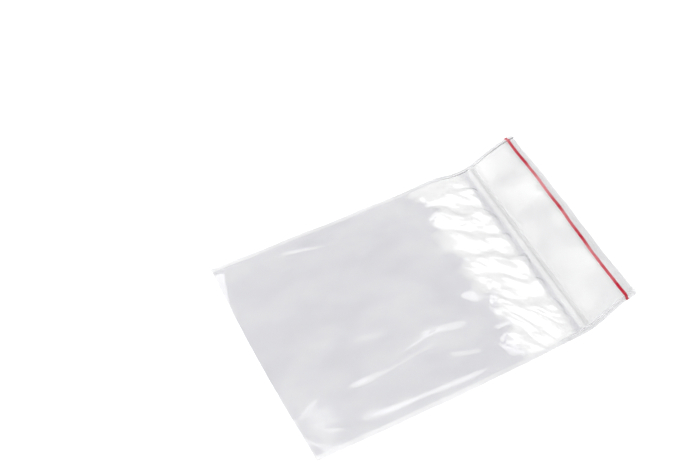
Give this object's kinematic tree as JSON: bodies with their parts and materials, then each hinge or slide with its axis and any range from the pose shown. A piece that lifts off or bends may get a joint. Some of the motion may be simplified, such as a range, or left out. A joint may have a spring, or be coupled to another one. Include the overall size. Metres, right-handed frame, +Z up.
{
  "type": "zip bag",
  "caption": "Clear flat plastic bag with a press-to-close zip, welded side seams and a red line along its open lip, lying empty and closed.",
  "frame": {"origin": "middle of the footprint, on the surface that the bag lies on", "axes": "+Y from the bottom fold to the mouth, +X across the bag, +Z up, with the wall that carries the red line on top"},
  "size_m": [0.0628, 0.0948, 0.0028],
  "materials": {
    "clear_film": "clear polythene film, glossy, with a slight haze",
    "red_line": "red stripe in the film, glossy"
  },
  "bodies": {
    "root": {"pouch": "clear_film", "red_line": "red_line"}
  },
  "joints": []
}
